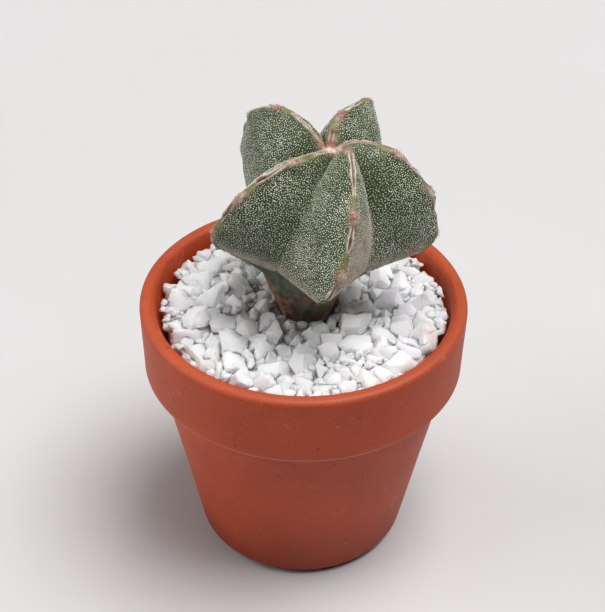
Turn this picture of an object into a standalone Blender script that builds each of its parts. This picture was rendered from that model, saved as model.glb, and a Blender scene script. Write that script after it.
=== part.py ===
"""Bishop's cap cactus in a small clay pot topped with crushed marble.

The origin is the middle of the pot's foot, +Z is up and -Y is the front.
Sizes are in millimetres and become metres where a mesh is made.
"""

import math
import random

import bmesh
import bpy
from mathutils import Matrix, Vector

MM = 0.001
GAP = 0.3
MERGE = 0.00001

# Clay pot
POT_HEIGHT = 52.7
RIM_RADIUS = 30.0
COLLAR_HEIGHT = 14.0
COLLAR_FOOT_RADIUS = 29.6
BODY_TOP_RADIUS = 27.2
FOOT_RADIUS = 19.4
LIP_WALL = 2.8
INNER_FLOOR_RADIUS = 17.0
FLOOR = 3.5
DRAIN_RADIUS = 4.0
FOOT_ROUNDING = 3.0
LIP_ROUNDING = 1.1
COLLAR_ROUNDING = 0.7
ROUNDING_STEPS = 3
COLLAR_STEPS = 2
TURNED_STEPS = 48
HOLE_STEPS = 20
SMOOTH_ANGLE = math.radians(35)

# Soil and marble chips
SOIL_TOP = 42.5
BED_EDGE = 49.2
BED_MIDDLE = 47.9
CHIP_LEVEL = (0.2, 0.7)
CHIP_SIZE = (1.9, 2.7)
CHIP_LENGTH = (0.8, 1.2)
CHIP_WIDTH = (0.75, 1.0)
CHIP_FLATNESS = (0.55, 0.8)
CHIP_POINTS = 9
CHIP_JITTER = 0.35
GOLDEN_ANGLE = math.radians(137.5)
CHIP_SPACING = 3.0
CHIP_TRIES = 6000
CHIP_SEED = 11

# Plant: where it leaves the gravel, and how far it leans from upright, in degrees
PLANT_FOOT = (0.3, 1.0, 49.0)
LEAN_FORWARD = 1.4
LEAN_RIGHT = 6.6

# Each rib: azimuth from +X, sweep to the tip, reach, puffiness of its flanks,
# and how much higher it stands than the common outline at brow, shoulder and tip
RIBS = (
    (138.0, -15.0, 1.02, 0.8, (0.6, 2.1, -1.2)),
    (214.0, -26.0, 0.95, 1.0, (-2.2, -2.0, -1.6)),
    (285.0, -22.0, 1.05, 1.0, (0.8, -0.4, -0.4)),
    (354.5, -1.0, 0.98, 1.0, (-0.1, -0.5, -0.5)),
    (428.0, -11.0, 1.01, 1.0, (1.4, 3.8, 2.5)),
)
LIFT_PLACES = (0.25, 0.6, 1.0)
SWEEP_PIVOT = 0.4
APEX_TWIST = 30.0
TWISTED_STATIONS = 2.5

# Outline of a rib's crest and of the valley beside it, from the apex over the head,
# under it, down the stem and along the root: crest radius, height, valley radius, height
STATIONS = (
    (0.9, 35.5, 0.8, 35.0),
    (4.5, 37.6, 2.7, 34.7),
    (9.2, 37.6, 5.3, 33.4),
    (13.3, 35.8, 7.8, 31.2),
    (16.8, 32.9, 9.9, 28.3),
    (19.4, 28.9, 11.4, 25.0),
    (20.8, 24.8, 12.2, 21.8),
    (20.9, 21.6, 12.4, 19.4),
    (20.0, 19.2, 11.9, 17.4),
    (17.4, 16.9, 10.7, 15.6),
    (14.6, 14.8, 9.5, 13.8),
    (12.0, 13.0, 8.9, 12.0),
    (9.6, 11.3, 8.5, 10.2),
    (8.0, 9.2, 8.3, 8.4),
    (6.8, 6.2, 7.3, 5.6),
    (5.7, 2.8, 6.3, 2.5),
    (4.8, -1.5, 5.2, -1.5),
    (4.3, -6.0, 4.5, -6.0),
    (3.1, -15.0, 3.0, -15.0),
    (1.2, -24.0, 1.2, -24.0),
)
TIP_STATION = 8
STEM_STATION = 14
ROWS_PER_STATION = 3
FLANK_SHARES = (0.3, 0.64)
FLANK_BULGE = (0.13, 0.01)
CREST_HALF_WIDTH = 0.5
APEX_CREST_WIDTH = 0.4
CREST_LIP = 0.25
AREOLE_HEIGHT = 0.35
AREOLE_ROWS = 2
APEX_WOOL = 0.6
ROOT_END = 1.5

# The stem bows to the left between the gravel and the head
STEM_BOW = -1.0
BOW_HEIGHT = 8.0
BOW_REACH = 8.0

# Hole for stem and root in soil and gravel: height along the plant, radius
ROOT_HOLE = ((6.0, 8.2), (0.0, 6.5), (-6.0, 5.3), (-15.0, 3.7), (-24.0, 1.9), (-26.5, 0.0))


def clear_scene():
    """Remove whatever objects the file opens with."""
    for item in list(bpy.data.objects):
        bpy.data.objects.remove(item, do_unlink=True)


def linear_colour(code):
    """Turn a hex colour as seen on a screen into Blender's linear one."""
    channels = [int(code[i:i + 2], 16) / 255 for i in (0, 2, 4)]
    return [c / 12.92 if c <= 0.04045 else ((c + 0.055) / 1.055) ** 2.4 for c in channels] + [1.0]


def make_material(name, code, roughness):
    """A plain finish of one colour; none of the pieces is metal."""
    material = bpy.data.materials.new(name)
    material.use_nodes = True
    shader = material.node_tree.nodes["Principled BSDF"]
    shader.inputs["Base Color"].default_value = linear_colour(code)
    shader.inputs["Roughness"].default_value = roughness
    shader.inputs["Metallic"].default_value = 0.0
    return material


def add_object(name, mesh, material):
    """Link a mesh to the scene as a named object with one material."""
    item = bpy.data.objects.new(name, mesh)
    bpy.context.scene.collection.objects.link(item)
    if material:
        mesh.materials.append(material)
    return item


def mesh_from_bmesh(name, bm):
    """Close a bmesh into a mesh with its faces pointing out."""
    bmesh.ops.recalc_face_normals(bm, faces=bm.faces)
    mesh = bpy.data.meshes.new(name)
    bm.to_mesh(mesh)
    bm.free()
    return mesh


def shade_round(mesh):
    """Smooth shading that keeps the hard corners."""
    mesh.shade_smooth()
    mesh.set_sharp_from_angle(angle=SMOOTH_ANGLE)


def apply_modifiers(item):
    """Replace an object's mesh with what its modifiers make of it."""
    graph = bpy.context.evaluated_depsgraph_get()
    finished = bpy.data.meshes.new_from_object(item.evaluated_get(graph))
    item.modifiers.clear()
    item.data = finished


def turned(name, outline, closed, material, steps=TURNED_STEPS):
    """Turn an outline of (radius, height) points, read down its outer side, round +Z."""
    points = [Vector((radius, 0.0, height)) * MM for radius, height in outline]
    edges = [(i, i + 1) for i in range(len(points) - 1)]
    if closed:
        edges.append((len(points) - 1, 0))
    mesh = bpy.data.meshes.new(name)
    mesh.from_pydata(points, edges, [])
    item = add_object(name, mesh, None)
    screw = item.modifiers.new("Turn", "SCREW")
    screw.steps = steps
    screw.render_steps = steps
    screw.use_merge_vertices = True
    screw.merge_threshold = MERGE
    apply_modifiers(item)
    item.data.materials.append(material)
    shade_round(item.data)
    return item


def arc(centre, radius, start, end, steps):
    """Points on an arc in the (radius, height) plane, angles in degrees."""
    angles = [math.radians(start + (end - start) * i / steps) for i in range(steps + 1)]
    return [(centre[0] + radius * math.cos(a), centre[1] + radius * math.sin(a)) for a in angles]


def inner_radius(height):
    """Radius of the pot's straight inner wall at a height."""
    share = (height - FLOOR) / (POT_HEIGHT - FLOOR)
    return INNER_FLOOR_RADIUS + share * (RIM_RADIUS - LIP_WALL - INNER_FLOOR_RADIUS)


def pot_outline():
    """The wall's closed section: lip, collar, tapered body, foot, floor and inner wall."""
    lip_level = POT_HEIGHT - LIP_ROUNDING
    inner_lip = RIM_RADIUS - LIP_WALL
    collar_foot = POT_HEIGHT - COLLAR_HEIGHT
    slope = math.degrees(math.atan2(collar_foot, BODY_TOP_RADIUS - FOOT_RADIUS))
    foot_centre = FOOT_RADIUS - FOOT_ROUNDING * math.tan(math.radians(slope / 2))
    outline = arc((RIM_RADIUS - LIP_ROUNDING, lip_level), LIP_ROUNDING, 90, 0,
                  ROUNDING_STEPS)
    outline += arc((COLLAR_FOOT_RADIUS - COLLAR_ROUNDING, collar_foot + COLLAR_ROUNDING),
                   COLLAR_ROUNDING, 0, -90, COLLAR_STEPS)
    outline.append((BODY_TOP_RADIUS, collar_foot))
    outline += arc((foot_centre, FOOT_ROUNDING), FOOT_ROUNDING, slope - 90, -90, ROUNDING_STEPS)
    outline += [(DRAIN_RADIUS, 0.0), (DRAIN_RADIUS, FLOOR), (INNER_FLOOR_RADIUS, FLOOR)]
    outline += arc((inner_lip + LIP_ROUNDING, lip_level), LIP_ROUNDING, 180, 90,
                   ROUNDING_STEPS)
    return outline


def make_pot():
    clay = make_material("terracotta", "9a4a33", 0.85)
    return turned("terracotta_pot", pot_outline(), True, clay)


def plant_to_world(item):
    """Stand a piece modelled along the plant's axis where the plant leaves the gravel."""
    item.location = Vector(PLANT_FOOT) * MM
    item.rotation_euler = (math.radians(LEAN_FORWARD), math.radians(LEAN_RIGHT), 0.0)
    bpy.context.view_layer.update()


def cut_root_hole(item):
    """Cut the leaning hole that stem and root stand in."""
    height = ROOT_HOLE[0][0]
    outline = [(0.0, height)] + [(radius, level) for level, radius in ROOT_HOLE]
    cutter = turned("root_hole", outline, False, None, steps=HOLE_STEPS)
    plant_to_world(cutter)
    cut = item.modifiers.new("Root hole", "BOOLEAN")
    cut.operation = "DIFFERENCE"
    cut.object = cutter
    apply_modifiers(item)
    bpy.data.objects.remove(cutter, do_unlink=True)


def make_soil():
    """Potting mix, up to the gravel, with the plant's hole in it."""
    earth = make_material("potting_mix", "3a2b22", 0.95)
    bottom = FLOOR + GAP
    outline = [(0.0, SOIL_TOP), (inner_radius(SOIL_TOP) - GAP, SOIL_TOP),
               (inner_radius(bottom) - GAP, bottom), (0.0, bottom)]
    soil = turned("potting_soil", outline, False, earth)
    cut_root_hole(soil)
    return soil


def bed_height(radius):
    """The gravel's filled level, a little lower round the stem."""
    share = min(1.0, radius / inner_radius(BED_EDGE))
    return BED_MIDDLE + (BED_EDGE - BED_MIDDLE) * share


def make_chip(draw, centre, wall_gap, foot_gap):
    """A crushed chip: the hull of a few points on a squashed, turned ball."""
    size = min(draw.uniform(*CHIP_SIZE), wall_gap, foot_gap)
    stretch = [draw.uniform(*limits) * size for limits in (CHIP_LENGTH, CHIP_WIDTH, CHIP_FLATNESS)]
    squash = Matrix.Diagonal(stretch)
    turn = Matrix.Rotation(draw.uniform(0.0, math.tau), 3, "Z")
    bm = bmesh.new()
    for i in range(CHIP_POINTS):
        level = 1.0 - 2.0 * (i + 0.5) / CHIP_POINTS
        angle = i * GOLDEN_ANGLE + draw.uniform(-CHIP_JITTER, CHIP_JITTER)
        ring = math.sqrt(1.0 - level * level)
        point = Vector((ring * math.cos(angle), ring * math.sin(angle), level))
        bm.verts.new((centre + turn @ squash @ point) * MM)
    hull = bmesh.ops.convex_hull(bm, input=bm.verts)
    spare = [v for v in hull["geom_interior"] + hull["geom_unused"] if isinstance(v, bmesh.types.BMVert)]
    bmesh.ops.delete(bm, geom=spare, context="VERTS")
    return mesh_from_bmesh("chip", bm)


def chip_places(draw):
    """Spots over the bed, none nearer to another than the spacing."""
    stem_radius = ROOT_HOLE[1][1]
    spots = []
    for _ in range(CHIP_TRIES):
        radius = inner_radius(BED_EDGE) * math.sqrt(draw.random())
        angle = draw.uniform(0.0, math.tau)
        spot = Vector((radius * math.cos(angle), radius * math.sin(angle), 0.0))
        foot_gap = (spot.xy - Vector(PLANT_FOOT).xy).length - stem_radius
        wall_gap = inner_radius(BED_EDGE) - GAP - radius
        if min(foot_gap, wall_gap) < CHIP_SIZE[0]:
            continue
        if all((spot - other[0]).length > CHIP_SPACING for other in spots):
            spots.append((spot, wall_gap, foot_gap))
    return spots


def make_gravel():
    """Crushed white marble: a filled bed with its top layer of chips, joined in one body."""
    marble = make_material("white_marble", "e9e8e6", 0.6)
    bottom = SOIL_TOP + GAP
    outline = [(0.0, BED_MIDDLE), (inner_radius(BED_EDGE) - GAP, BED_EDGE),
               (inner_radius(bottom) - GAP, bottom), (0.0, bottom)]
    gravel = turned("gravel", outline, False, marble)
    draw = random.Random(CHIP_SEED)
    chips = bpy.data.collections.new("chips")
    bpy.context.scene.collection.children.link(chips)
    for spot, wall_gap, foot_gap in chip_places(draw):
        spot.z = bed_height(spot.length) + draw.uniform(*CHIP_LEVEL)
        chips.objects.link(bpy.data.objects.new("chip", make_chip(draw, spot, wall_gap, foot_gap)))
    join = gravel.modifiers.new("Join chips", "BOOLEAN")
    join.operation = "UNION"
    join.solver = "MANIFOLD"
    join.operand_type = "COLLECTION"
    join.collection = chips
    apply_modifiers(gravel)
    for chip in list(chips.objects):
        bpy.data.objects.remove(chip, do_unlink=True)
    bpy.data.collections.remove(chips)
    cut_root_hole(gravel)
    return gravel


def smooth_through(points, steps):
    """A Catmull-Rom curve through equally long tuples of numbers."""
    rows = []
    for i in range(len(points) - 1):
        a, b, c, d = (points[max(0, min(len(points) - 1, i + k))] for k in (-1, 0, 1, 2))
        for step in range(steps):
            t = step / steps
            rows.append(tuple(
                0.5 * (2 * q + (r - p) * t + (2 * p - 5 * q + 4 * r - s) * t ** 2
                       + (3 * q - p - 3 * r + s) * t ** 3)
                for p, q, r, s in zip(a, b, c, d)))
    rows.append(points[-1])
    return rows


def ease(share):
    """Smooth step from 0 to 1."""
    share = max(0.0, min(1.0, share))
    return share * share * (3.0 - 2.0 * share)


def rib_place(rib, row):
    """Azimuth in degrees, reach and lift of a rib on one row of the plant."""
    azimuth, sweep, reach, _, lifts = rib
    station = row / ROWS_PER_STATION
    head = min(1.0, station / TIP_STATION)
    under = ease((station - TIP_STATION) / (STEM_STATION - TIP_STATION))
    twist = APEX_TWIST * max(0.0, 1.0 - station / TWISTED_STATIONS) ** 2
    raised = 0.0
    last_place, last_lift = 0.0, 0.0
    for place, lift in zip(LIFT_PLACES, lifts):
        raised += (lift - last_lift) * ease((head - last_place) / (place - last_place))
        last_place, last_lift = place, lift
    return (azimuth + sweep * (head - SWEEP_PIVOT) + twist,
            reach + (1.0 - reach) * under, raised * (1.0 - under))


def polar(radius, azimuth, height):
    """A point in the plant's frame, azimuth in degrees, with the stem's bow."""
    angle = math.radians(azimuth)
    bow = STEM_BOW * ease(1.0 - abs(height - BOW_HEIGHT) / BOW_REACH)
    return Vector((radius * math.cos(angle) + bow, radius * math.sin(angle), height))


def crest_and_valley(index, rows):
    """The crest line of one rib and the valley line that follows it."""
    rib = RIBS[index]
    after = RIBS[(index + 1) % len(RIBS)]
    turn = 360.0 if index == len(RIBS) - 1 else 0.0
    crest, valley = [], []
    for row, (crest_radius, crest_height, valley_radius, valley_height) in enumerate(rows):
        azimuth, reach, lift = rib_place(rib, row)
        next_azimuth, next_reach, next_lift = rib_place(after, row)
        middle = (azimuth + next_azimuth + turn) / 2
        crest.append(polar(crest_radius * reach, azimuth, crest_height + lift))
        valley.append(polar(valley_radius * (reach + next_reach) / 2, middle,
                            valley_height + (lift + next_lift) / 2))
    return crest, valley


def crest_strip(line, row):
    """Left lip, middle and right lip of a crest; the middle rises at each areole."""
    here = line[row]
    along = line[min(row + 1, len(line) - 1)] - line[max(row - 1, 0)]
    side = Vector((-here.y, here.x, 0.0)).normalized()
    out = side.cross(along).normalized() * -1.0
    width = min(CREST_HALF_WIDTH, APEX_CREST_WIDTH * here.xy.length)
    share = width / CREST_HALF_WIDTH
    headed = row < STEM_STATION * ROWS_PER_STATION
    areole = AREOLE_HEIGHT if headed and row % AREOLE_ROWS == 1 else 0.0
    lip = out * CREST_LIP * share
    return [here - side * width + lip, here + out * areole, here + side * width + lip]


def flank(crest, valley, row, edge, puff):
    """Points between a crest's lip and the valley, gently bulging outwards."""
    across = valley[row] - edge
    before = (crest[max(row - 1, 0)] + valley[max(row - 1, 0)]) / 2
    following = min(row + 1, len(crest) - 1)
    along = (crest[following] + valley[following]) / 2 - before
    share = min(1.0, row / (TIP_STATION * ROWS_PER_STATION))
    bulge = FLANK_BULGE[0] + (FLANK_BULGE[1] - FLANK_BULGE[0]) * share
    swell = along.cross(across).normalized() * across.length * bulge * puff
    return [edge + across * place + swell * math.sin(math.pi * place) for place in FLANK_SHARES]


def plant_ring(lines, row):
    """One ring round the plant: for each rib its strip, a flank, the valley and the next flank."""
    ring = []
    strips = [crest_strip(crest, row) for crest, valley in lines]
    for index, (crest, valley) in enumerate(lines):
        after = (index + 1) % len(lines)
        ring += strips[index]
        ring += flank(crest, valley, row, strips[index][2], RIBS[index][3])
        ring.append(valley[row])
        ring += reversed(flank(lines[after][0], valley, row, strips[after][0], -RIBS[after][3]))
    return ring


def skin(name, rings, top, bottom):
    """Skin closed rings with quads and close both ends with a fan."""
    bm = bmesh.new()
    loops = [[bm.verts.new(point * MM) for point in ring] for ring in rings]
    count = len(loops[0])
    for upper, lower in zip(loops, loops[1:]):
        for i in range(count):
            j = (i + 1) % count
            bm.faces.new((upper[i], lower[i], lower[j], upper[j]))
    for loop, point in ((loops[0], top), (loops[-1], bottom)):
        middle = bm.verts.new(point * MM)
        for i in range(count):
            bm.faces.new((loop[i], loop[(i + 1) % count], middle))
    return mesh_from_bmesh(name, bm)


def make_cactus():
    """The plant in one piece: head with five ribs, waisted stem and tap root."""
    rows = smooth_through(STATIONS, ROWS_PER_STATION)
    lines = [crest_and_valley(index, rows) for index in range(len(RIBS))]
    rings = [plant_ring(lines, row) for row in range(len(rows))]
    top = Vector((0.0, 0.0, STATIONS[0][1] + APEX_WOOL))
    bottom = Vector((0.0, 0.0, STATIONS[-1][1] - ROOT_END))
    green = make_material("cactus_skin", "66705a", 0.7)
    cactus = add_object("cactus", skin("cactus", rings, top, bottom), green)
    shade_round(cactus.data)
    plant_to_world(cactus)
    return cactus


clear_scene()
make_pot()
make_soil()
make_gravel()
make_cactus()
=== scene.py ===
# %% [markdown]
# # A potted bishop's cap cactus
# A star-shaped cactus with five ribs stands in a small clay pot, in crushed white marble.
# The CAD model gives sizes and places. This lesson dresses it: the camera, the pot, the chips, the
# plant with its felt and wool, and last the floor and the light.

# %% Load the frame
import math

import bmesh
import bpy
import numpy as np
from mathutils import Matrix, Vector, noise


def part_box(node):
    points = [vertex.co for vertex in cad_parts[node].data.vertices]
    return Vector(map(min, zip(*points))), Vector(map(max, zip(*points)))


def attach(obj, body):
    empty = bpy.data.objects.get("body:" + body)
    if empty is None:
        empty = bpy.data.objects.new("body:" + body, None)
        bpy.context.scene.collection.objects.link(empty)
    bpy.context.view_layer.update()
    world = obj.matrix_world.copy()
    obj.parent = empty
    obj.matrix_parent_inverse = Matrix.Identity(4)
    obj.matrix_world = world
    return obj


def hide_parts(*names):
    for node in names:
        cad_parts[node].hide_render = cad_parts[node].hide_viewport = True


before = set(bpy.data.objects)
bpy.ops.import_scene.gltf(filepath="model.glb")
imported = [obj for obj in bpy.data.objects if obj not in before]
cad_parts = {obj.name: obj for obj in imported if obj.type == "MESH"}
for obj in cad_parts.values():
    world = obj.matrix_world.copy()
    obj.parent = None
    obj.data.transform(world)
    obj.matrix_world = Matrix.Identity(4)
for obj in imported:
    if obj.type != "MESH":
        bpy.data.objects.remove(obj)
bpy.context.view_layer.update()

MM = 0.001

# %% [markdown]
# ## The camera
# A long lens from a little above shows the pot's round mouth as an ellipse and hardly narrows the
# pot with distance. Its place was found from the ellipses of rim, collar and foot. A camera looks
# along its own -Z, so it is turned up about X from looking straight down, then rolled about Z.

# %% Place the camera
LENS = 100.0
NEAREST = 10.0
CAMERA_PLACE = Vector((-0.2, -245.95, 242.2)) * MM
LOOKS_DOWN = math.radians(37.95)
ROLL = math.radians(0.62)


def new_object(name, data):
    """Make an object from its data and link it to the scene."""
    made = bpy.data.objects.new(name, data)
    bpy.context.scene.collection.objects.link(made)
    return made


def place_camera():
    data = bpy.data.cameras.new("camera")
    data.lens = LENS
    data.clip_start = NEAREST * MM
    camera = new_object("camera", data)
    turn = Matrix.Rotation(math.pi / 2 - LOOKS_DOWN, 4, "X") @ Matrix.Rotation(ROLL, 4, "Z")
    camera.matrix_world = Matrix.Translation(CAMERA_PLACE) @ turn
    bpy.context.scene.camera = camera


place_camera()
print("camera distance in mm:", round(CAMERA_PLACE.length / MM))

# %% [markdown]
# ## Helpers for finishes
# A screen colour is sRGB, while the renderer adds up light in linear values, so one function turns
# the hex code into linear numbers. A second adds any node with its settings and links. The others
# hold what finishes repeat: colours laid over each other, the last links, and a pattern's scale,
# which is one over the real size of its features, because the coordinates are in metres.

# %% Colour, node and material helpers
TINY = 1e-6


def linear(code):
    """Linear RGBA of a hex colour as seen on a screen."""
    channels = np.array([int(code[i:i + 2], 16) for i in (0, 2, 4)]) / 255
    curve = np.where(channels <= 0.04045, channels / 12.92, ((channels + 0.055) / 1.055) ** 2.4)
    return (*map(float, curve), 1.0)


def add(tree, kind, inputs=None, **settings):
    """Add a node; an input gets either a value or the output socket that feeds it."""
    node = tree.nodes.new("ShaderNode" + kind)
    for name, value in settings.items():
        setattr(node, name, value)
    for socket, value in (inputs or {}).items():
        if isinstance(value, bpy.types.NodeSocket):
            tree.links.new(value, node.inputs[socket])
        else:
            node.inputs[socket].default_value = value
    return node


def start_material(name, roughness, ior):
    """A material with its shader, and the coordinates that its patterns use."""
    material = bpy.data.materials.new(name)
    material.use_nodes = True
    tree = material.node_tree
    shader = tree.nodes["Principled BSDF"]
    shader.inputs["Roughness"].default_value = roughness
    shader.inputs["IOR"].default_value = ior
    place = add(tree, "TexCoord").outputs["Object"]
    return material, tree, shader, place


def overlay(tree, colour, layers):
    """Lay colours over a first one, each through the mask that comes with it."""
    for mask, layer in layers:
        over = linear(layer) if isinstance(layer, str) else layer
        colour = add(tree, "Mix", {0: mask, 6: colour, 7: over}, data_type="RGBA").outputs[2]
    return colour


def dress(tree, shader, colour, height, strength, depth):
    """Give a shader its colour and a fine relief with a depth in millimetres."""
    bump = add(tree, "Bump", {"Height": height, "Strength": strength, "Distance": depth * MM})
    tree.links.new(colour, shader.inputs["Base Color"])
    tree.links.new(bump.outputs["Normal"], shader.inputs["Normal"])


def sized(place, size, **inputs):
    """Inputs of a pattern whose features have a size in millimetres."""
    return {"Vector": place, "Scale": 1 / (size * MM), **inputs}


def ease(share):
    """Smooth step from 0 to 1."""
    share = np.clip(share, 0.0, 1.0)
    return share * share * (3.0 - 2.0 * share)


def bell(distance, width):
    """Bell curve: 1 at no distance, and fading over a width."""
    return np.exp(-(distance / width) ** 2)


def add_piece(name, points, faces, material):
    """Make a mesh from points in millimetres, link it and let it ride on the one body."""
    mesh = bpy.data.meshes.new(name)
    mesh.from_pydata([tuple(p) for p in np.asarray(points) * MM], [], faces)
    mesh.materials.append(material)
    mesh.shade_smooth()
    piece = new_object(name, mesh)
    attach(piece, "root")
    mesh.calc_loop_triangles()
    print(name, "has", len(mesh.loop_triangles), "triangles")
    return piece


def grid_faces(rows, columns):
    """Quads of a grid that closes on itself sideways, and a fan over each end."""
    index = np.arange(rows * columns).reshape(rows, columns)
    after = np.roll(index, -1, axis=1)
    quads = np.stack([index[:-1], index[1:], after[1:], after[:-1]], -1).reshape(-1, 4).tolist()
    top, bottom = rows * columns, rows * columns + 1
    fans = [(int(a), int(b), top) for a, b in zip(index[0], after[0])]
    fans += [(int(b), int(a), bottom) for a, b in zip(index[-1], after[-1])]
    return quads + fans


def waviness(points, size, octaves=3):
    """Smooth noise between -1 and 1 at points in millimetres, for features of a given size."""
    flat = np.asarray(points).reshape(-1, 3) / size
    values = [noise.fractal(Vector(p), 1.0, 2.0, octaves) for p in flat]
    return np.array(values).reshape(np.asarray(points).shape[:-1])


# %% [markdown]
# ## The clay pot
# A small pot is pressed from red clay in a turning mould, dried and fired unglazed. Its wall is a
# body of revolution, so one section is swept round the axis. The mesh is finer than the CAD solid,
# so that the rim is round, and has the faint unevenness of fired clay.

# %% Sweep the pot's section round its axis
POT_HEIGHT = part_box("terracotta_pot")[1].z / MM
RIM_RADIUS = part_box("terracotta_pot")[1].x / MM
COLLAR_HEIGHT = 14.0
COLLAR_FOOT_RADIUS = 29.6
BODY_TOP_RADIUS = 27.2
FOOT_RADIUS = 19.4
FOOT_ROUNDING = 3.0
LIP_WALL = 2.8
LIP_ROUNDING = 1.1
COLLAR_ROUNDING = 0.7
FLOOR = 3.5
INNER_FLOOR_RADIUS = 17.0
DRAIN_RADIUS = 4.0
POT_STEPS = 256
WALL_STEP = 1.2
CLAY_WAVE = 0.05
CLAY_WAVE_SIZE = 16.0


def arc(centre, radius, start, end, steps):
    """Points on an arc in the (radius, height) plane, angles in degrees."""
    angles = np.radians(np.linspace(start, end, steps + 1))
    return np.array(centre) + radius * np.column_stack([np.cos(angles), np.sin(angles)])


def inner_radius(height):
    """Radius of the pot's straight inner wall at a height."""
    share = (height - FLOOR) / (POT_HEIGHT - FLOOR)
    return INNER_FLOOR_RADIUS + share * (RIM_RADIUS - LIP_WALL - INNER_FLOOR_RADIUS)


def pot_section():
    """The wall's closed section: lip, collar, body, foot, floor and inner wall."""
    lip_level = POT_HEIGHT - LIP_ROUNDING
    collar_foot = POT_HEIGHT - COLLAR_HEIGHT
    slope = math.degrees(math.atan2(collar_foot, BODY_TOP_RADIUS - FOOT_RADIUS))
    foot_centre = FOOT_RADIUS - FOOT_ROUNDING * math.tan(math.radians(slope / 2))
    corners = np.vstack([
        arc((RIM_RADIUS - LIP_ROUNDING, lip_level), LIP_ROUNDING, 90, 0, 10),
        arc((COLLAR_FOOT_RADIUS - COLLAR_ROUNDING, collar_foot + COLLAR_ROUNDING),
            COLLAR_ROUNDING, 0, -90, 6),
        [(BODY_TOP_RADIUS, collar_foot)],
        arc((foot_centre, FOOT_ROUNDING), FOOT_ROUNDING, slope - 90, -90, 8),
        [(DRAIN_RADIUS, 0.0), (DRAIN_RADIUS, FLOOR), (INNER_FLOOR_RADIUS, FLOOR)],
        arc((RIM_RADIUS - LIP_WALL + LIP_ROUNDING, lip_level), LIP_ROUNDING, 180, 90, 10)])
    points = []
    for here, there in zip(corners, np.roll(corners, -1, axis=0)):
        pieces = max(1, round(float(np.linalg.norm(there - here)) / WALL_STEP))
        points += [here + (there - here) * k / pieces for k in range(pieces)]
    return np.array(points)


def sweep(section, steps):
    """Turn a closed section round +Z: points and the faces between them."""
    angles = np.linspace(0, math.tau, steps, endpoint=False)
    rounds = np.stack([section[:, 0] * np.cos(angles)[:, None],
                       section[:, 0] * np.sin(angles)[:, None],
                       np.broadcast_to(section[:, 1], (steps, len(section)))], -1)
    count = len(section)
    faces = [(i * count + j, ((i + 1) % steps) * count + j,
              ((i + 1) % steps) * count + (j + 1) % count, i * count + (j + 1) % count)
             for i in range(steps) for j in range(count)]
    return rounds.reshape(-1, 3), faces


# %% [markdown]
# ## Fired red clay
# Terracotta is iron-rich earthenware, fired once and left bare, so it is matt with a weak sheen at
# grazing angles. The collar's lower edge is paler, partly worn by other pots and partly painted
# highlight, the lip's top is paler as painted highlight, and the foot is darker as painted shade.
# Dark grains of iron show, and pale dust lies in patches.

# %% The clay's finish
CLAY = "c04b1c"
CLAY_DEEP = "9f350f"
# Collar's lower edge: wear and painted highlight; lip's top: painted highlight.
CLAY_WEAR_AND_HIGHLIGHT = "c98a70"
# Painted shade: the deeper colour laid on towards the foot.
CLAY_FOOT_SHADE = "73240a"
IRON_GRAIN = "5a2415"
CLAY_DUST = "dca68c"
CLOUD_SIZE = 14.0
FINE_CLAY_SIZE = 0.45
GRAIN_SPACING = 4.6
GRAIN_RADIUS = 0.42
DUST_SIZE = 5.0


def fired_red_clay():
    material, tree, shader, place = start_material("fired_red_clay", roughness=0.55, ior=1.43)
    clouds = add(tree, "TexNoise", sized(place, CLOUD_SIZE, Detail=4.0))
    fine = add(tree, "TexNoise", sized(place, FINE_CLAY_SIZE, Detail=3.0))
    both = add(tree, "Math", {0: clouds.outputs["Fac"], 1: fine.outputs["Fac"]}, operation="ADD")
    shade = add(tree, "MapRange", {"Value": both.outputs[0], "From Min": 0.6, "From Max": 1.4})
    cells = add(tree, "TexVoronoi", sized(place, GRAIN_SPACING))
    grain = add(tree, "MapRange", {"Value": cells.outputs["Distance"], "From Max": 0.02,
                                   "From Min": GRAIN_RADIUS / GRAIN_SPACING, "To Max": 0.85})
    drift = add(tree, "TexNoise", sized(place, DUST_SIZE, Detail=6.0, Roughness=0.75))
    dust = add(tree, "MapRange", {"Value": drift.outputs["Fac"], "From Min": 0.6, "From Max": 0.8,
                                  "To Max": 0.35})
    # Masks from the points: painted shade at the foot, wear and painted highlight at the edges.
    foot_shade, wear_and_highlight = (add(tree, "Attribute", attribute_name=name).outputs["Fac"]
                    for name in ("foot_shade", "wear_and_highlight"))
    colour = overlay(tree, linear(CLAY_DEEP), (
        (shade.outputs["Result"], CLAY), (grain.outputs["Result"], IRON_GRAIN),
        (foot_shade, CLAY_FOOT_SHADE), (wear_and_highlight, CLAY_WEAR_AND_HIGHLIGHT), (dust.outputs["Result"], CLAY_DUST)))
    dress(tree, shader, colour, fine.outputs["Fac"], 0.45, 0.06)
    return material


# %% Build the pot
# Pale collar edge, partly wear and partly painted highlight, and painted highlight on the lip.
COLLAR_WEAR_AND_HIGHLIGHT = 0.55
WEAR_AND_HIGHLIGHT_WIDTH = 0.22
LIP_HIGHLIGHT = 0.12
LIP_HIGHLIGHT_FADE = 1.5
# Painted shade towards the foot where the pot meets the floor: height, wander, strength.
FOOT_SHADE_HEIGHT = 20.0
FOOT_SHADE_WANDER = 4.0
FOOT_SHADE_SHARE = 0.45


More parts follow.
